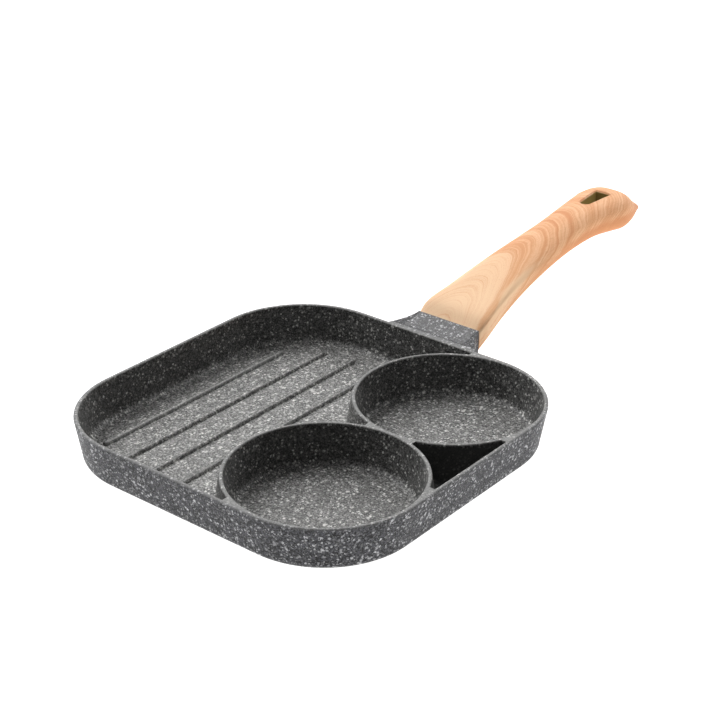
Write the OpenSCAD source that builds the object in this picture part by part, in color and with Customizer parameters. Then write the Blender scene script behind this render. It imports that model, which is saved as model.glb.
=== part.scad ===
// Square divided breakfast pan. The cast body has a ridged grill zone, two round egg
// cups and a small deep pocket. An arched handle sits over a tongue on the body's
// bracket and is held by one screw from below.
// The pan stands on the plane Z = 0 with its centre on the Z axis. The handle points
// along +Y, the egg cups are on the +X side and the grill zone is on the -X side.

/* [Pan] */
// Width of the square pan across its rim
pan_w = 185; // [165:1:210]
// Height from the base to the rim
pan_h = 22; // [20:0.5:28]
// Thickness of the outer wall at the rim
wall_t = 2.2; // [1.8:0.1:3]
// Thickness of the floor
floor_t = 2.6; // [2:0.1:3.6]
// How far the outside of the wall leans in between the rim and the base
wall_lean = 2.9; // [1.5:0.1:4]
// How far the inside of a wall leans in between the rim and the floor
inner_lean = 2.4; // [1.5:0.1:4]
// Radius of the outer edge under the pan
base_round = 3.4; // [2:0.1:5]
// Radius between the floor and the walls inside
floor_round = 4; // [2.5:0.1:5]
// Radius on both edges of every rim
rim_round = 0.8; // [0.4:0.1:0.9]
// How much the pan's corner radius exceeds that of a cup and its wall
corner_extra = 1.5; // [0.5:0.1:3]

/* [Egg cups] */
// Wall left between a cup and the outside of the pan, at the rim
cup_side_t = 2.6; // [2.2:0.1:4]
// Wall left between the two cups where they meet, at the rim
cup_between_t = 2.4; // [1.6:0.1:4]
// Thickness of a cup's own wall, at the rim
cup_wall_t = 2; // [1.6:0.1:3]
// How far the outside of a cup's wall spreads between the rim and the floor
cup_spread = 2.6; // [1:0.1:4]
// Width of the gap between two rims at which the narrow wedge is filled in
wedge_gap = 2.4; // [2:0.1:6]
// Radius at the foot of a cup's wall, outside the cup
foot_round = 2.5; // [1:0.1:3.5]

/* [Grill ridges] */
// Number of ridges
ridge_count = 4; // [2:1:4]
// Distance from one ridge to the next
ridge_pitch = 17.5; // [14:0.1:19]
// Distance from the pan's middle to the ridge beside the cups
ridge_first = 19; // [17:0.1:24]
// Width of a ridge at the floor
ridge_w = 3.6; // [2:0.1:5]
// Height of a ridge above the floor
ridge_h = 1.5; // [0.8:0.1:2.5]
// Gap between the ridges and the foot of the wall, on the side with the handle
ridge_end_gap = 8.4; // [4:0.2:12]
// Gap between the ridges and the foot of the wall, on the side away from it
ridge_near_gap = 4; // [2:0.2:12]

/* [Bracket] */
// Length of the bracket from the pan's rim to the handle
bracket_len = 14.5; // [10:0.5:22]
// Width of the bracket at the handle
bracket_w = 37.8; // [30:0.2:42]
// Width of the bracket where it leaves the rim
bracket_rim_w = 54; // [46:0.5:64]
// Height of the bracket's top edge at the handle, from the base
bracket_top = 25.3; // [24:0.1:28]
// Height of the bracket's face at the handle
bracket_h = 12; // [11:0.1:13]

/* [Handle] */
// Length of the handle
handle_len = 186; // [150:0.5:210]
// Width at the narrowest place
waist_w = 25.6; // [22:0.2:32]
// Width at the widest place near the end
palm_w = 34.4; // [30:0.2:42]
// Greatest thickness, in the palm
palm_t = 20.2; // [16:0.2:22]
// Rise of the top from the bracket to the highest place
arch_rise = 27.1; // [15:0.5:34]
// Length of the hanging hole
hang_len = 21; // [16:0.5:26]
// Width of the hanging hole at its round end, nearer the pan
hang_w_narrow = 5.2; // [4:0.1:7]
// Width of the hanging hole at its flat end, nearer the tip
hang_w_wide = 8.8; // [7:0.1:11]
// Place of the hole's flat end, as a share of the handle's length
hang_share = 0.782; // [0.76:0.002:0.82]
// Width of the chamfer around the hanging hole
hang_edge = 1; // [0.6:0.1:1.4]

/* [Fixing] */
// Length of the tongue inside the handle
tongue_len = 22; // [18:0.5:28]
// Width of the tongue
tongue_w = 18; // [12:0.5:22]
// Thickness of the tongue
tongue_t = 4.2; // [4:0.1:4.6]
// Slope of the tongue, which follows the handle
tongue_tilt = 19; // [16:0.5:21]
// Gap around the tongue in its socket
tongue_gap = 0.2; // [0.1:0.05:0.3]
// Diameter of the screw
screw_d = 4; // [3:0.5:4]
// Length of the screw under its head
screw_len = 6; // [5:0.5:6]
// Diameter of the screw's head
head_d = 8; // [7:0.2:8]
// Height of the screw's head
head_h = 2.2; // [1.8:0.1:2.4]
// Thickness of the lock washer
washer_t = 0.8; // [0.6:0.1:1]
// Gap around the screw in the handle
screw_gap = 0.2; // [0.1:0.05:0.3]

/* [Hidden] */
$fn = 48;
half_w = pan_w / 2;
cup_r = (half_w - cup_side_t - cup_between_t / 2) / 2;
cup_x = half_w - cup_side_t - cup_r;
cup_y = cup_between_t / 2 + cup_r;
cup_out_r = cup_r + cup_wall_t;
corner_r = cup_r + cup_side_t + corner_extra;
corner_at = half_w - corner_r;
over = 1;
stone = [0.27, 0.27, 0.29];
wood = [0.87, 0.66, 0.47];
steel = [0.72, 0.72, 0.74];
bracket_y = half_w + bracket_len;
bracket_mid = bracket_top - bracket_h / 2;
tongue_up = 1.8;
seat_t = 1;
seat_z = -(tongue_t / 2 + seat_t + washer_t);
screw_y = tongue_len * 0.55;
tip_w = 2;
tip_t = 3.4;
// The handle's stations: share of its length, half width, top as a share of the rise,
// thickness, share of the thickness that is above the widest line
stations = [
    [0, bracket_w / 2 + 0.3, 0, bracket_h, 0.5],
    [0.038, bracket_w / 2 + 0.75, 0.161, bracket_h + 0.3, 0.5],
    [0.125, mix(bracket_w, waist_w, 0.24) / 2, 0.324, bracket_h - 0.2, 0.525],
    [0.24, mix(bracket_w, waist_w, 0.56) / 2, 0.535, mix(bracket_h, palm_t, 0.06), 0.565],
    [0.38, mix(bracket_w, waist_w, 0.72) / 2, 0.764, mix(bracket_h, palm_t, 0.29), 0.6],
    [0.52, waist_w / 2, 0.899, mix(bracket_h, palm_t, 0.48), 0.6],
    [0.64, mix(waist_w, palm_w, 0.21) / 2, 0.979, mix(bracket_h, palm_t, 0.6), 0.6],
    [0.735, mix(waist_w, palm_w, 0.79) / 2, 1, mix(bracket_h, palm_t, 0.85), 0.59],
    [0.774, palm_w / 2, 1, palm_t, 0.535],
    [0.828, palm_w * 0.444, 0.984, palm_t * 1.02, 0.52],
    [0.876, palm_w * 0.345, 0.797, palm_t * 0.806, 0.515],
    [0.919, palm_w * 0.24, 0.62, palm_t * 0.61, 0.49],
    [0.957, palm_w * 0.147, 0.461, palm_t * 0.42, 0.45],
    [0.984, palm_w * 0.08, 0.346, palm_t * 0.265, 0.4],
    [1, tip_w / 2, 0.274, tip_t, 0.35]
];
handle_slices = 52;
section_points = 36;

function mix(a, b, t) = a + (b - a) * t;
function smooth_step(t) = let (u = min(max(t, 0), 1)) u * u * (3 - 2 * u);
function arc_points(x, y, r, from, to, n = 6) =
    [for (i = [0:n]) [x + r * cos(mix(from, to, i / n)), y + r * sin(mix(from, to, i / n))]];

// Slope of column c of the stations at row i
function station_slope(i, c) =
    let (a = max(i - 1, 0), b = min(i + 1, len(stations) - 1))
    (stations[b][c] - stations[a][c]) / (stations[b][0] - stations[a][0]);
// Smooth value of column c of the stations at a share t of the handle's length
function station_row(t) = max([for (i = [0:len(stations) - 2]) if (stations[i][0] <= t) i]);
function along(t, c) =
    let (i = station_row(t), h = stations[i + 1][0] - stations[i][0], u = (t - stations[i][0]) / h)
    (2 * u ^ 3 - 3 * u ^ 2 + 1) * stations[i][c] + (u ^ 3 - 2 * u ^ 2 + u) * h * station_slope(i, c)
    + (3 * u ^ 2 - 2 * u ^ 3) * stations[i + 1][c] + (u ^ 3 - u ^ 2) * h * station_slope(i + 1, c);

// Height of the handle's top at a share t of its length
function handle_top(t) = bracket_top + arch_rise * along(t, 2);

// Outside of the pan from its corner axis outwards: base edge, leaning wall, rim
function outer_profile(reach) = concat(
    [[0, 0]],
    arc_points(reach - wall_lean - base_round, base_round, base_round, -90, 0),
    arc_points(reach - rim_round, pan_h - rim_round, rim_round, 0, 90, 4),
    [[0, pan_h]]);

// Inside of a basin from its axis outwards: floor, round foot, leaning wall, flared rim
function basin_profile(reach, lean) = concat(
    [[0, floor_t]],
    arc_points(reach - lean - floor_round, floor_t + floor_round, floor_round, -90, 0),
    arc_points(reach + rim_round, pan_h - rim_round, rim_round, 180, 90, 4),
    [[reach + rim_round, pan_h + over], [0, pan_h + over]]);

// Outside of a cup's wall: round foot on the floor, leaning wall, rounded rim
function cup_outer_profile() = concat(
    [[0, floor_t - over], [cup_out_r + cup_spread + foot_round, floor_t - over]],
    arc_points(cup_out_r + cup_spread + foot_round, floor_t + foot_round, foot_round, -90, -180),
    arc_points(cup_out_r - rim_round, pan_h - rim_round, rim_round, 0, 90, 4),
    [[cup_out_r - rim_round, pan_h + over], [0, pan_h + over]]);

// A square solid with round corners whose sides follow a profile
module rounded_square(profile, reach, z_low, z_high) {
    c = corner_at;
    translate([-c, -c, z_low]) cube([2 * c, 2 * c, z_high - z_low]);
    for (k = [0:3]) rotate(90 * k) {
        translate([c, c, 0]) rotate_extrude(angle = 90) polygon(profile);
        translate([c, c, 0]) rotate([90, 0, 0]) linear_extrude(2 * c) polygon(profile);
    }
}

module at_cups() for (side = [-1, 1]) translate([cup_x, side * cup_y, 0]) children();

// How far a filled wedge reaches from a cup's axis along a wall at a distance from it
function wedge_reach(wall_distance) = sqrt(cup_out_r ^ 2 - (wall_distance - wedge_gap) ^ 2);

// The fills in the narrow wedges: between the cups, and between a cup and the walls
module wedge_fills() {
    z_low = floor_t - over;
    fill_h = pan_h + over - z_low;
    between = wedge_reach(cup_y + wedge_gap / 2);
    wall_at = half_w - wall_t;
    beside = wedge_reach(wall_at - cup_x);
    behind = wedge_reach(wall_at - cup_y);
    fill_at = wall_at - wedge_gap - 0.6;
    depth = wedge_gap + 2.5;
    translate([cup_x - between, -wedge_gap / 2 - 0.6, z_low])
        cube([2 * between, wedge_gap + 1.2, fill_h]);
    for (side = [0, 1]) mirror([0, side, 0]) {
        translate([fill_at, cup_y - beside, z_low]) cube([depth, beside, fill_h]);
        translate([cup_x - behind, fill_at, z_low]) cube([behind, depth, fill_h]);
    }
}

// The space inside the walls that the grill zone and the pocket share
module open_zone() difference() {
    rounded_square(basin_profile(corner_r - wall_t, inner_lean), corner_r - wall_t, floor_t, pan_h + over);
    at_cups() rotate_extrude() polygon(cup_outer_profile());
    wedge_fills();
}

// Reach of a ridge along Y at a distance x from the pan's middle, with a gap left at its end
function ridge_reach(x, gap) =
    let (r = corner_r - wall_t - inner_lean - floor_round - gap, out = x - corner_at)
    corner_at + (out > 0 ? sqrt(max(r ^ 2 - out ^ 2, 0)) : r);

// One ridge along Y, rounded on top and at both ends
module ridge(near, far) {
    side = concat([[0, -over], [ridge_w / 2, -over]], [for (i = [0:5])
        [ridge_w / 2 * (1 - 0.62 * (i / 5) ^ 1.6), ridge_h * sin(18 * i)]], [[0, ridge_h]]);
    other_side = [for (i = [len(side) - 2:-1:1]) [-side[i][0], side[i][1]]];
    start = far - ridge_w / 2;
    translate([0, start, 0]) rotate_extrude(angle = 180) polygon(side);
    translate([0, ridge_w / 2 - near, 0]) rotate(180) rotate_extrude(angle = 180) polygon(side);
    translate([0, start, 0]) rotate([90, 0, 0]) linear_extrude(near + far - ridge_w)
        polygon(concat(side, other_side));
}

module ridges() for (i = [0:ridge_count - 1]) {
    x = ridge_first + i * ridge_pitch;
    translate([-x, 0, floor_t]) ridge(ridge_reach(x, ridge_near_gap), ridge_reach(x, ridge_end_gap));
}

// The bracket: a side outline drawn across, trimmed by its outline seen from above
module bracket() {
    root = half_w - wall_lean - 0.2;
    steps = 8;
    gusset = bracket_top - bracket_h - 5;
    side = concat(
        [for (i = [0:steps]) [mix(half_w - wall_t + rim_round, bracket_y, i / steps),
            mix(pan_h, bracket_top, (i / steps) ^ 1.15)]],
        [[bracket_y, bracket_top - bracket_h]],
        arc_points(root + gusset, bracket_top - bracket_h - gusset, gusset, 90, 180, 5));
    edge = concat([[bracket_rim_w / 2, root - 2]],
        [for (i = [0:steps]) [mix(bracket_w, bracket_rim_w, (1 - i / steps) ^ 1.5) / 2,
            mix(half_w - 0.6, bracket_y, i / steps)]]);
    other_edge = [for (i = [len(edge) - 1:-1:0]) [-edge[i][0], edge[i][1]]];
    intersection() {
        translate([-bracket_rim_w / 2, 0, 0]) rotate([90, 0, 90])
            linear_extrude(bracket_rim_w) polygon(side);
        linear_extrude(pan_h + 10) polygon(concat(edge, other_edge));
    }
}

// Places things in the tongue's frame: +Y along the tongue, +Z out of its top
module at_tongue()
    translate([0, bracket_y, bracket_mid + tongue_up]) rotate([tongue_tilt, 0, 0]) children();

// Places things on the screw's axis, +Z towards the screw's tip, at the head's seat
module at_screw() at_tongue() translate([0, screw_y, seat_z]) children();

module tongue() difference() {
    at_tongue() translate([-tongue_w / 2, -3, -tongue_t / 2]) cube([tongue_w, tongue_len + 3, tongue_t]);
    at_screw() cylinder(d = screw_d, h = 20);
}

module pan_body() color(stone) {
    difference() {
        union() {
            rounded_square(outer_profile(corner_r), corner_r, 0, pan_h);
            bracket();
        }
        open_zone();
        at_cups() rotate_extrude() polygon(basin_profile(cup_r, inner_lean));
    }
    ridges();
    tongue();
}

// How boxy the handle's section is: square at the bracket, oval in the hand, sharper at the tip
function squareness(t, hand, palm, tip) = mix(8, hand, smooth_step(t / 0.4))
    + (palm - hand) * smooth_step((t - 0.4) / 0.3) + (tip - palm) * smooth_step((t - 0.8) / 0.18);

// Points of one cross-section at a share t of the length, counted round from +X
function section(t) =
    let (w = along(t, 1), top = handle_top(t), thick = along(t, 3), above = along(t, 4),
        mid = top - above * thick)
    [for (k = [0:section_points - 1])
        let (a = 360 * k / section_points, c = cos(a), s = sin(a), up = s >= 0,
            e = 2 / (up ? squareness(t, 2.15, 2.6, 1.5) : squareness(t, 2.7, 2.7, 1.35)))
        [w * sign(c) * abs(c) ^ e, bracket_y + t * handle_len,
            mid + (up ? above : above - 1) * thick * abs(s) ^ e]];

// Slices lie closer together at the root and at the tip
function slice_share(i) = let (u = i / handle_slices) mix(u, (1 - cos(180 * u)) / 2, 0.55);

module handle_solid() {
    n = section_points;
    points = [for (i = [0:handle_slices]) each section(slice_share(i))];
    skin = [for (i = [0:handle_slices - 1]) for (k = [0:n - 1])
        let (a = i * n + k, b = i * n + (k + 1) % n) each [[a, b, b + n], [a, b + n, a + n]]];
    root = [for (k = [1:n - 2]) [0, k + 1, k]];
    tip = [for (k = [1:n - 2]) let (o = handle_slices * n) [o, o + k, o + k + 1]];
    polyhedron(points = points, faces = concat(skin, root, tip));
}

// Outline of the hanging hole: round towards the pan, wider and flat towards the tip
module hang_outline(more) {
    flat_y = hang_share * handle_len;
    round_y = flat_y - hang_len + hang_w_narrow / 2;
    translate([0, round_y]) circle(d = hang_w_narrow + 2 * more, $fn = 32);
    polygon([[hang_w_narrow / 2 + more, round_y], [hang_w_wide / 2 + more, flat_y + more],
        [-hang_w_wide / 2 - more, flat_y + more], [-hang_w_narrow / 2 - more, round_y]]);
}

// The hanging hole with its chamfers, which follow the slope of the top and of the underside
module hang_hole() {
    back = hang_share - hang_len / handle_len;
    translate([0, bracket_y, bracket_top - 10]) linear_extrude(arch_rise + 30) hang_outline(0);
    for (side = [0, 1]) {
        h0 = handle_top(back) - side * along(back, 3);
        h1 = handle_top(hang_share) - side * along(hang_share, 3);
        slope = atan((h1 - h0) / hang_len);
        translate([0, bracket_y + back * handle_len, h0]) rotate([slope, 0, 0])
            translate([0, -back * handle_len, 0]) mirror([0, 0, side]) hull() {
                translate([0, 0, -hang_edge]) linear_extrude(0.1) hang_outline(0);
                translate([0, 0, hang_edge]) linear_extrude(0.1) hang_outline(2 * hang_edge);
            }
    }
}

// The socket for the tongue, and the stepped hole for the screw and its washer
module handle() color(wood) difference() {
    handle_solid();
    hang_hole();
    at_tongue() translate([-tongue_w / 2 - tongue_gap, -6, -tongue_t / 2 - tongue_gap])
        cube([tongue_w + 2 * tongue_gap, tongue_len + 6 + tongue_gap, tongue_t + 2 * tongue_gap]);
    at_screw() cylinder(d = screw_d + 2 * screw_gap, h = -seat_z);
    at_screw() translate([0, 0, washer_t - 12]) cylinder(d = head_d + 2, h = 12);
}

// Pan-head screw with a cross recess, seen from under the handle
module handle_screw() color(steel) at_screw() difference() {
    union() {
        cylinder(d = screw_d - 0.1, h = screw_len);
        rotate_extrude() polygon(concat([[0, 0]], [[head_d / 2, 0], [head_d / 2, -head_h * 0.45]],
            [for (i = [1:4]) [head_d / 2 * cos(22.5 * i), -head_h * (0.45 + 0.55 * sin(22.5 * i))]]));
    }
    for (turn = [0, 90]) rotate(turn) translate([-head_d * 0.28, -head_d * 0.06, -head_h - 1])
        cube([head_d * 0.56, head_d * 0.12, 1 + head_h * 0.6]);
}

// Split lock washer between the screw's head and its seat in the handle
module lock_washer() color(steel) at_screw() difference() {
    cylinder(d = head_d - 0.4, h = washer_t);
    translate([0, 0, -1]) cylinder(d = screw_d + 0.2, h = washer_t + 2);
    rotate([0, 0, 20]) translate([0, -0.35, -1]) cube([head_d, 0.7, washer_t + 2]);
}

pan_body();
handle();
handle_screw();
lock_washer();
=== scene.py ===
import math

import bmesh
import bpy
from mathutils import Matrix, Vector


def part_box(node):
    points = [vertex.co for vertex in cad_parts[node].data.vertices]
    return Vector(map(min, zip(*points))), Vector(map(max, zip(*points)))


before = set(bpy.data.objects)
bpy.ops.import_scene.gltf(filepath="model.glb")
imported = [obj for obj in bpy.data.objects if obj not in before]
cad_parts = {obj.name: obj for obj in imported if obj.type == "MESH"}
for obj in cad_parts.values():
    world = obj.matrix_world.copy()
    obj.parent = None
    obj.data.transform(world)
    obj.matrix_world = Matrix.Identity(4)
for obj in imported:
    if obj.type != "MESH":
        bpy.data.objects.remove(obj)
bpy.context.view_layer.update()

MM = 0.001

# Sizes of the pan that its coating follows, in millimetres
HALF_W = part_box("pan_body")[1].x / MM
PAN_H = 22.0
WALL_T = 2.2
WALL_LEAN = 2.9
INNER_LEAN = 2.4
CORNER_R = 48.45
CUP_AT = 45.55
CUP_OUT_R = 46.35
RIDGES = 4
RIDGE_FIRST = 19.0
RIDGE_PITCH = 17.5

# The handle's top line: its height at the bracket, how much higher its highest place is, how far from the
# pan's middle that place is, and how far it is from the bracket, all in millimetres
CROWN_START = 25.3
CROWN_RISE = 27.1
CROWN_Y = 235.0
CROWN_REACH = 128.0

# The hanging hole: its round end's middle and radius, its flat end, and its widening for each millimetre
HOLE_Y = 234.1
HOLE_R = 2.6
HOLE_END_Y = 252.5
HOLE_TAPER = 0.098

BLACK = (0.0, 0.0, 0.0)


# Shader sums


class Wire:
    """One socket of a material's nodes. Sums of wires and numbers add the nodes that work them out."""

    def __init__(self, made, socket):
        self.made = made
        self.socket = socket

    def sum(self, operation, *others):
        return self.made.math(operation, self, *others)

    def __add__(self, other):
        return self.sum("ADD", other)

    __radd__ = __add__

    def __mul__(self, other):
        return self.sum("MULTIPLY", other)

    __rmul__ = __mul__

    def __sub__(self, other):
        return self.sum("SUBTRACT", other)

    def __rsub__(self, other):
        return self.made.math("SUBTRACT", other, self)

    def __truediv__(self, other):
        return self.sum("DIVIDE", other)

    def __rtruediv__(self, other):
        return self.made.math("DIVIDE", other, self)

    def __pow__(self, other):
        return self.sum("POWER", other)

    def __abs__(self):
        return self.sum("ABSOLUTE")


class Finish:
    """A material that is built node by node, on coordinates in millimetres."""

    def __init__(self, name):
        self.material = bpy.data.materials.new(name)
        self.material.use_nodes = True
        self.tree = self.material.node_tree
        self.tree.nodes.clear()
        where = self.node("ShaderNodeTexCoord", out="Object")
        self.place = self.vector("SCALE", where, scale=1 / MM)
        split = self.node("ShaderNodeSeparateXYZ", {}, {"Vector": self.place}, out=None)
        self.x, self.y, self.z = (Wire(self, split.outputs[k]) for k in "XYZ")

    def node(self, kind, settings=None, inputs=None, out=0):
        """Adds a node: its settings first, then the values or wires of its sockets."""
        made = self.tree.nodes.new(kind)
        for name, value in (settings or {}).items():
            if name == "stops":
                ramp = made.color_ramp
                while len(ramp.elements) < len(value):
                    ramp.elements.new(0.5)
                for element, (position, colour) in zip(ramp.elements, value):
                    element.position = position
                    element.color = (*colour, 1.0)
            elif name == "interpolation":
                made.color_ramp.interpolation = value
            else:
                setattr(made, name, value)
        for name, value in (inputs or {}).items():
            socket = made.inputs[name]
            if isinstance(value, Wire):
                self.tree.links.new(value.socket, socket)
            elif hasattr(value, "__len__") and len(value) == 3 and len(socket.default_value) == 4:
                socket.default_value = (*value, 1.0)
            else:
                socket.default_value = value
        return made if out is None else Wire(self, made.outputs[out])

    def math(self, operation, *values):
        return self.node("ShaderNodeMath", {"operation": operation}, dict(enumerate(values)))

    def vector(self, operation, first, second=None, scale=None):
        inputs = {0: first}
        if second is not None:
            inputs[1] = second
        if scale is not None:
            inputs["Scale"] = scale
        return self.node("ShaderNodeVectorMath", {"operation": operation}, inputs)

    def join(self, x, y, z):
        return self.node("ShaderNodeCombineXYZ", {}, {"X": x, "Y": y, "Z": z})

    def least(self, a, b):
        return self.math("MINIMUM", a, b)

    def most(self, a, b):
        return self.math("MAXIMUM", a, b)

    def length(self, a, b):
        return self.math("SQRT", a * a + b * b)

    def step(self, value, low, high, to_low=0.0, to_high=1.0):
        """Smooth change from to_low at low to to_high at high."""
        return self.node(
            "ShaderNodeMapRange",
            {"interpolation_type": "SMOOTHSTEP"},
            {"Value": value, "From Min": low, "From Max": high, "To Min": to_low, "To Max": to_high},
        )

    def fade(self, value, low, high):
        """Smooth change from 1 at low to 0 at high."""
        return self.step(value, low, high, 1.0, 0.0)

    def band(self, value, rise, fall):
        """1 between two spans, with a smooth rise over the first and a smooth fall over the second."""
        return self.step(value, *rise) * self.fade(value, *fall)

    def blend(self, factor, first, second):
        """Mixes two colours."""
        made = self.node("ShaderNodeMix", {"data_type": "RGBA", "clamp_factor": True}, out=None)
        for socket, value in ((made.inputs[0], factor), (made.inputs[6], first), (made.inputs[7], second)):
            if isinstance(value, Wire):
                self.tree.links.new(value.socket, socket)
            else:
                socket.default_value = (*value, 1.0) if hasattr(value, "__len__") else value
        return Wire(self, made.outputs[2])

    def noise(self, size, detail=2.0, rough=0.5, place=None, seed=0.0, out="Fac"):
        """Soft cloud noise whose lumps are about size millimetres across."""
        where = self.vector("ADD", place or self.place, (seed * 17.3, seed * 9.1, seed * 23.7))
        return self.node(
            "ShaderNodeTexNoise",
            {},
            {"Vector": where, "Scale": 1 / size, "Detail": detail, "Roughness": rough},
            out=out,
        )

    def cells(self, size, place):
        """Random cells about size millimetres across: the distance to each cell's middle, and three
        random numbers from 0 to 1 for the cell."""
        made = self.node(
            "ShaderNodeTexVoronoi",
            {"feature": "F1"},
            {"Vector": place, "Scale": 1 / size, "Randomness": 1.0},
            out=None,
        )
        picks = self.node("ShaderNodeSeparateColor", {}, {0: Wire(self, made.outputs["Color"])}, out=None)
        away = Wire(self, made.outputs["Distance"]) * size
        return away, *(Wire(self, picks.outputs[k]) for k in range(3))

    def bump(self, height, distance, strength):
        return self.node(
            "ShaderNodeBump", {}, {"Height": height, "Distance": distance * MM, "Strength": strength}
        )

    def surface(self, bump=None, **sockets):
        """Ends the material in one Principled shader."""
        shader = self.node("ShaderNodeBsdfPrincipled", {}, sockets, out=None)
        if bump is not None:
            self.tree.links.new(bump.socket, shader.inputs["Normal"])
        end = self.node("ShaderNodeOutputMaterial", out=None)
        self.tree.links.new(shader.outputs[0], end.inputs[0])
        return self.material


# Places on the pan


def outline_reach(kit):
    """Millimetres outside the pan's rounded square at the rim, less than 0 within it."""
    at = HALF_W - CORNER_R
    qx = abs(kit.x) - at
    qy = abs(kit.y) - at
    reach = kit.length(kit.most(qx, 0.0), kit.most(qy, 0.0))
    return reach + kit.least(kit.most(qx, qy), 0.0) - CORNER_R


def outside_share(kit, reach):
    """1 on the outside of the pan and on its bracket, 0 inside its walls."""
    depth = 1.0 - kit.z / PAN_H
    wall_middle = depth * (-(WALL_LEAN + INNER_LEAN) / 2) - WALL_T / 2
    walls = kit.step(reach - wall_middle, -0.35, 0.35)
    underside = kit.fade(kit.z, 0.6, 1.4)
    return kit.most(walls, underside)


def from_cup(kit):
    """Millimetres from the middle of the nearer egg cup."""
    return kit.length(kit.x - CUP_AT, abs(kit.y) - CUP_AT)


def within_pocket_shade(kit, cup_distance, outside):
    """1 on the walls and the floor of the small pocket beside the cups, where painted shade goes."""
    beside_cups = kit.step(cup_distance - CUP_OUT_R, -0.3, 0.2) * kit.step(kit.x, 48.0, 54.0)
    return beside_cups * kit.fade(kit.z, PAN_H - 1.2, PAN_H - 0.5) * (1.0 - outside)


def ridge_side_light(kit):
    """How much paler the sides of the ridges that face the cups are painted: painted light on their shaded
    sides.
    """
    last_share, other_share = 0.36, 0.12
    pale = 0.0
    for number in range(RIDGES):
        beyond = kit.x + RIDGE_FIRST + number * RIDGE_PITCH
        face = kit.band(beyond, (0.0, 0.5), (1.9, 2.4))
        pale = face * (last_share if number == RIDGES - 1 else other_share) + pale
    above_floor = kit.band(kit.z, (2.65, 2.9), (4.2, 4.6))
    return pale * above_floor * kit.fade(kit.x, -14.0, -12.0)


# Stone coating


def flecks(kit, cell, share, small, large, seed, ragged):
    """Mask of sprayed flecks: cells cell mm wide, a share of them filled, radii small to large mm."""
    push = kit.noise(cell * 0.45, detail=1.0, seed=seed + 0.3, out="Color")
    push = kit.vector("SCALE", kit.vector("SUBTRACT", push, (0.5, 0.5, 0.5)), scale=ragged * cell * 2)
    where = kit.vector("ADD", kit.vector("ADD", kit.place, push), (seed * 31.0, seed * 12.0, seed * 7.0))
    away, chance, width, strength = kit.cells(cell, where)
    filled = kit.math("LESS_THAN", chance, share)
    radius = width**2.0 * (large - small) + small
    edge = kit.fade(away - radius, -0.12 * cell, 0.06 * cell)
    return edge * filled * (strength * 0.40 + 0.60)


def grains(kit, size, seed):
    """Random grey from 0 to 1 for each grain of the spray, size mm across."""
    where = kit.vector("ADD", kit.place, (seed * 13.0, seed * 29.0, seed * 5.0))
    return kit.cells(size, where)[1]


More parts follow.
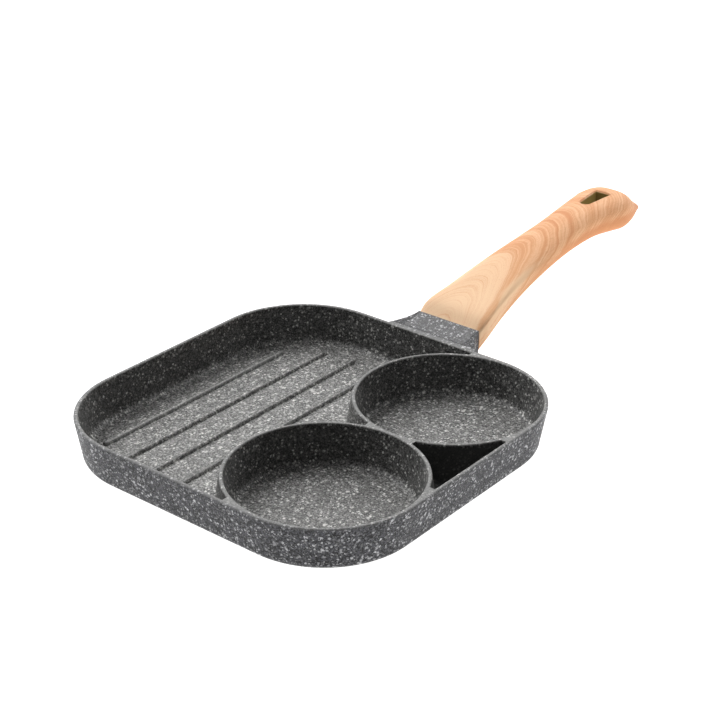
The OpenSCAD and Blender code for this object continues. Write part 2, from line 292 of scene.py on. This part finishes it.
def stone_coating():
    """Dark sprayed non-stick coating with pale flecks, coarser and bluer on the outside."""
    kit = Finish("stone_coating")
    reach = outline_reach(kit)
    outside = outside_share(kit, reach)
    inside = 1.0 - outside
    cup_distance = from_cup(kit)
    in_cups = kit.fade(cup_distance, CUP_OUT_R - 3.0, CUP_OUT_R - 1.8)
    standing = kit.step(kit.z, 3.0, 5.5)
    on_floor = (1.0 - standing) * inside

    # The ground coat: fine grit, painted darker on the walls and in the cups than on the open floor, as
    # painted shade where less light falls
    salt = grains(kit, 0.62, seed=1.0)
    pepper = kit.noise(0.42, rough=0.6, seed=1.0)
    cloud = kit.noise(7.0, detail=3.0, rough=0.55, seed=2.0)
    fine = kit.step(salt * 0.72 + pepper * 0.56 + (cloud - 0.5) * 0.3, 0.28, 1.12)
    coarse = kit.step(salt * 0.62 + pepper * 0.7 + (cloud - 0.5) * 0.45, 0.40, 0.98)
    inner = kit.blend(fine, (0.040, 0.040, 0.039), (0.318, 0.315, 0.306))
    # Painted shade: the standing inner walls are painted darker than the floor
    inner = kit.blend(standing * 0.42, inner, (0.018, 0.018, 0.019))
    outer = kit.blend(coarse, BLACK, (0.094, 0.094, 0.106))
    paint = kit.blend(outside, inner, outer)
    # Painted shade on the cups' floors
    paint = kit.blend(in_cups * on_floor * 0.16, paint, BLACK)

    # The sprayed flecks, from dust to the large ones, in loose patches; they are denser on the open floor
    # than on the walls and in the cups, partly as painted glints of the low back light
    dust = flecks(kit, cell=0.85, share=0.50, small=0.26, large=0.54, seed=1.0, ragged=0.25)
    small = flecks(kit, cell=1.35, share=0.42, small=0.36, large=0.74, seed=2.0, ragged=0.4)
    large = flecks(kit, cell=2.3, share=0.34, small=0.50, large=1.05, seed=3.0, ragged=0.55)
    floor_flecks_and_glints = flecks(kit, cell=1.5, share=0.40, small=0.42, large=0.78, seed=5.0, ragged=0.4)
    patchy = kit.step(cloud, 0.36, 0.58, 0.45, 1.0)
    white = kit.blend(outside, (0.97, 0.965, 0.93), (0.80, 0.80, 0.82))
    dust_share = 0.56 - standing * 0.16 - in_cups * 0.10
    paint = kit.blend(dust * dust_share, paint, (0.46, 0.46, 0.455))
    paint = kit.blend(small * patchy * 0.88, paint, white)
    paint = kit.blend(large * patchy * (0.85 - standing * inside * 0.55), paint, white)
    paint = kit.blend(floor_flecks_and_glints * on_floor * patchy * (0.62 - in_cups * 0.3), paint, white)

    # The ridges' shaded sides are painted paler as painted light, the rim gets a painted highlight, and
    # the pocket is painted plain and dark as painted shade
    paint = kit.blend(ridge_side_light(kit), paint, (0.50, 0.50, 0.49))
    # Painted highlight along the top of the rim
    rim = kit.step(kit.z, PAN_H - 0.9, PAN_H - 0.25) * kit.fade(reach, 0.4, 1.2)
    paint = kit.blend(rim * (pepper * 0.4 + 0.14), paint, (0.45, 0.45, 0.44))
    # Painted shade: the pocket is painted plain and dark
    pocket = within_pocket_shade(kit, cup_distance, outside)
    paint = kit.blend(pocket * 0.78, paint, (0.074, 0.074, 0.072))

    # The bracket is painted paler on its top and darker on its two sides: a painted highlight on the top
    # and painted shade on the sides
    bracket = kit.step(kit.y, HALF_W + 1.0, HALF_W + 2.5)
    shaded_flank = kit.step(abs(kit.x), 17.6, 18.4)
    paint = kit.blend(bracket * (1.0 - shaded_flank) * 0.13, paint, (0.62, 0.62, 0.62))
    paint = kit.blend(bracket * shaded_flank * 0.28, paint, BLACK)

    relief = kit.noise(0.75, rough=0.6, seed=4.0) + small * 0.25 + salt * 0.2
    rough = kit.step(fine, 0.1, 0.9, 0.50, 0.62)
    return kit.surface(
        bump=kit.bump(relief, distance=0.10, strength=0.6),
        **{"Base Color": paint, "Roughness": rough, "Specular IOR Level": 0.38},
    )


# Wooden handle

# The growth rings of the handle: how far along the handle each ring's arch reaches (mm from the pan's
# middle), and how dark the wood is there, from 0 to 1
RINGS = [
    (100.0, 0.08),
    (138.0, 0.12),
    (148.0, 0.10),
    (151.0, 0.42),
    (154.0, 0.12),
    (162.0, 0.18),
    (165.5, 0.86),
    (170.0, 0.78),
    (178.0, 0.64),
    (186.0, 0.46),
    (189.0, 0.56),
    (191.5, 1.00),
    (194.5, 0.50),
    (200.5, 0.54),
    (203.5, 0.96),
    (206.0, 0.40),
    (213.0, 0.38),
    (216.5, 0.92),
    (219.0, 0.42),
    (231.0, 0.44),
    (235.5, 0.86),
    (239.0, 0.46),
    (250.0, 0.52),
    (255.0, 0.64),
    (259.0, 0.34),
    (267.0, 0.54),
    (272.0, 0.32),
    (284.0, 0.58),
    (300.0, 0.46),
]


def hole_shade_mask(kit):
    """1 on the walls of the hanging hole, where painted shade goes."""
    past_round_end = kit.y - HOLE_Y
    half_width = kit.most(past_round_end, 0.0) * HOLE_TAPER + HOLE_R
    beside = kit.length(kit.x, kit.least(past_round_end, 0.0)) - half_width
    return kit.fade(kit.most(beside, kit.y - HOLE_END_Y), 0.05, 0.35)


def ring_reach(kit, fall):
    """How far along the handle the growth ring at a place reaches, in millimetres from the pan's middle.

    The rings are arches that open towards the pan. They flatten towards the tip and run back along the
    handle's sides, where fall is the height below the handle's top line.
    """
    wave = kit.noise(30.0, seed=5.0)
    ripple = kit.noise(6.0, seed=6.0)
    across = kit.x + 4.0 + (wave - 0.5) * 5.0
    square = across * across
    bow = 0.13 - (kit.y + square * 0.08 - 150.0) * 0.001
    bow = kit.least(kit.most(bow, 0.045), 0.13)
    ring = kit.y + square * bow + (wave - 0.5) * 5.0 + (ripple - 0.5) * 2.2
    return ring + kit.most(fall - 5.0, 0.0) * 1.8


def ring_tone(kit, ring):
    """Darkness of the growth ring that reaches to ring, from 0 to 1."""
    low, high = RINGS[0][0], RINGS[-1][0]
    stops = [((place - low) / (high - low), (dark,) * 3) for place, dark in RINGS]
    return kit.node(
        "ShaderNodeValToRGB", {"interpolation": "EASE", "stops": stops}, {0: (ring - low) / (high - low)}
    )


def handle_wood():
    """Pale wood whose growth rings cross the handle as nested arches that point to its tip."""
    kit = Finish("wood")
    crown = CROWN_START + CROWN_RISE * (1.0 - ((kit.y - CROWN_Y) / CROWN_REACH) ** 2.0)
    fall = crown - kit.z
    ring = ring_reach(kit, fall)
    bands = ring_tone(kit, ring)

    # Thin lines run with the rings, fibres and pores run along the handle
    line = kit.join(ring, kit.x * 0.02, 0.0)
    thin = kit.step(kit.noise(1.5, rough=0.6, place=line, seed=10.0), 0.36, 0.66)
    hair = kit.noise(0.9, rough=0.7, place=line, seed=11.0)
    fibre = kit.noise(0.5, detail=3.0, rough=0.65, place=kit.join(kit.x, kit.y * 0.06, kit.z), seed=7.0)
    pores = kit.noise(0.35, rough=0.6, place=kit.join(kit.x, kit.y * 0.16, kit.z), seed=12.0)
    blotch = kit.noise(14.0, place=kit.join(kit.x, kit.y * 0.4, kit.z), seed=8.0)
    tone = bands * 0.66 + thin * (bands * 0.6 + 0.24) * 0.7 + (hair - 0.5) * 1.7
    tone = tone + (fibre - 0.5) * 0.70 + (blotch - 0.5) * 0.50
    # Painted shade: the wood is painted darker from 7 to 11 mm below the handle's top line onwards, on its
    # downward-facing sides
    tone = tone + kit.step(fall, 7.0, 11.0) * 0.62

    # The wood is redder towards the tip, and painted paler on the long edges near the bracket: a painted
    # highlight where the sides turn away from the lights
    along = kit.step(kit.y, 112.0, 215.0)
    pale = kit.blend(along, (1.0, 0.68, 0.42), (0.90, 0.53, 0.295))
    deep = kit.blend(along, (0.84, 0.44, 0.22), (0.72, 0.31, 0.135))
    paint = kit.blend(kit.step(tone, -0.05, 1.05), pale, deep)
    pore_share = kit.step(pores, 0.60, 0.72) * (along * 0.32 + 0.2)
    paint = kit.blend(pore_share, paint, (0.52, 0.23, 0.10))
    # Painted highlight on the long edges near the bracket
    edge = kit.band(fall, (0.2, 1.0), (3.5, 6.0)) * kit.step(abs(kit.x), 11.5, 14.0)
    edge = edge * kit.fade(kit.y, 150.0, 190.0)
    paint = kit.blend(edge * 0.7, paint, (1.0, 0.69, 0.43))
    # Painted shade on the walls of the hanging hole
    paint = kit.blend(hole_shade_mask(kit), paint, (0.30, 0.22, 0.07))

    rough = kit.step(tone, 0.0, 1.0, 0.52, 0.64)
    return kit.surface(
        bump=kit.bump(fibre + pores * 0.5, distance=0.03, strength=0.5),
        **{"Base Color": paint, "Roughness": rough, "Specular IOR Level": 0.25},
    )


# Screw and lock washer


def bright_steel():
    """Turned steel with faint streaks from the lathe."""
    kit = Finish("bright_steel")
    streak = kit.noise(0.25, rough=0.6, place=kit.join(kit.x * 3.0, kit.y * 0.4, kit.z), seed=9.0)
    paint = kit.blend(streak, (0.52, 0.52, 0.53), (0.70, 0.70, 0.71))
    rough = kit.step(streak, 0.2, 0.8, 0.24, 0.38)
    return kit.surface(
        bump=kit.bump(streak, distance=0.01, strength=0.4),
        **{"Base Color": paint, "Metallic": 1.0, "Roughness": rough},
    )


# Pieces


def dress(node, material, edge_angle):
    """Gives a CAD node its finish and smooth faces between the edges that are sharper than edge_angle."""
    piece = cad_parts[node]
    piece.data.materials.clear()
    piece.data.materials.append(material)
    piece.data.polygons.foreach_set("use_smooth", [True] * len(piece.data.polygons))
    weld = piece.modifiers.new("weld", "WELD")
    weld.merge_threshold = 0.002 * MM
    split = piece.modifiers.new("edges", "EDGE_SPLIT")
    split.split_angle = math.radians(edge_angle)
    split.use_edge_sharp = False
    even = piece.modifiers.new("even", "WEIGHTED_NORMAL")
    even.mode = "FACE_AREA"
    even.keep_sharp = True


dress("pan_body", stone_coating(), edge_angle=33)
dress("handle", handle_wood(), edge_angle=33)
steel = bright_steel()
dress("handle_screw", steel, edge_angle=30)
dress("lock_washer", steel, edge_angle=30)


# Studio


def ground():
    """Pale floor just under the pan, so that the two faces don't lie in one plane."""
    half_width, gap = 6.0, 0.2 * MM
    made = bmesh.new()
    bmesh.ops.create_grid(made, x_segments=1, y_segments=1, size=half_width)
    bmesh.ops.translate(made, vec=(0.0, 0.0, -gap), verts=made.verts)
    mesh = bpy.data.meshes.new("ground")
    made.to_mesh(mesh)
    made.free()
    plane = bpy.data.objects.new("ground", mesh)
    bpy.context.scene.collection.objects.link(plane)
    sockets = {
        "Base Color": (0.30, 0.30, 0.30),
        "Roughness": 0.9,
        "Emission Color": (1.0, 1.0, 1.0),
        "Emission Strength": 1.12,
    }
    mesh.materials.append(Finish("ground").surface(**sockets))


def hang_light(name, lamp, azimuth, elevation, aim=Vector(), distance=0.0):
    """Puts a light distance metres from aim, in a direction measured in degrees from +Y towards +X."""
    a, e = math.radians(azimuth), math.radians(elevation)
    to_light = Vector((math.sin(a) * math.cos(e), math.cos(a) * math.cos(e), math.sin(e)))
    turn = to_light.to_track_quat("Z", "Y").to_matrix().to_4x4()
    light = bpy.data.objects.new(name, lamp)
    light.matrix_world = Matrix.Translation(aim + to_light * distance) @ turn
    bpy.context.scene.collection.objects.link(light)


def soft_sun(name, azimuth, elevation, power, spread):
    """Even light from one direction, spread over an angle."""
    lamp = bpy.data.lights.new(name, "SUN")
    lamp.energy = power
    lamp.angle = math.radians(spread)
    hang_light(name, lamp, azimuth, elevation)


def handle_light():
    """Narrow soft light on the handle's right-hand side, from above."""
    lamp = bpy.data.lights.new("handle_light", "SPOT")
    lamp.energy = 12.5
    lamp.shadow_soft_size = 0.08
    lamp.spot_size = math.radians(12.6)
    lamp.spot_blend = 0.3
    hang_light("handle_light", lamp, 82, 36, aim=Vector((0.0, 0.212, 0.04)), distance=1.0)


def photograph_camera():
    """The camera of the photograph: its place, its direction and its lens."""
    azimuth, elevation, roll = 38.62, 26.67, 0.514
    lens = bpy.data.cameras.new("camera")
    lens.sensor_width = 36.0
    lens.lens = 84.68
    lens.clip_start = 0.05
    lens.clip_end = 30.0
    camera = bpy.data.objects.new("camera", lens)
    camera.matrix_world = (
        Matrix.Translation(Vector((452.21, -531.32, 394.73)) * MM)
        @ Matrix.Rotation(math.radians(azimuth), 4, "Z")
        @ Matrix.Rotation(math.radians(90 - elevation), 4, "X")
        @ Matrix.Rotation(math.radians(roll), 4, "Z")
    )
    bpy.context.scene.collection.objects.link(camera)
    bpy.context.scene.camera = camera


def room():
    """Dim grey room round the studio."""
    world = bpy.data.worlds.new("room")
    world.use_nodes = True
    bpy.context.scene.world = world
    back = world.node_tree.nodes["Background"]
    back.inputs["Color"].default_value = (1.0, 1.0, 1.0, 1.0)
    back.inputs["Strength"].default_value = 0.055


ground()
soft_sun("back", azimuth=0, elevation=28, power=1.22, spread=40)
soft_sun("back_left", azimuth=-45, elevation=34, power=0.92, spread=40)
soft_sun("left", azimuth=-90, elevation=47, power=2.3, spread=44)
soft_sun("top", azimuth=0, elevation=75, power=0.25, spread=40)
handle_light()
room()
photograph_camera()
bpy.context.scene.view_settings.view_transform = "Standard"
bpy.context.scene.view_settings.look = "None"
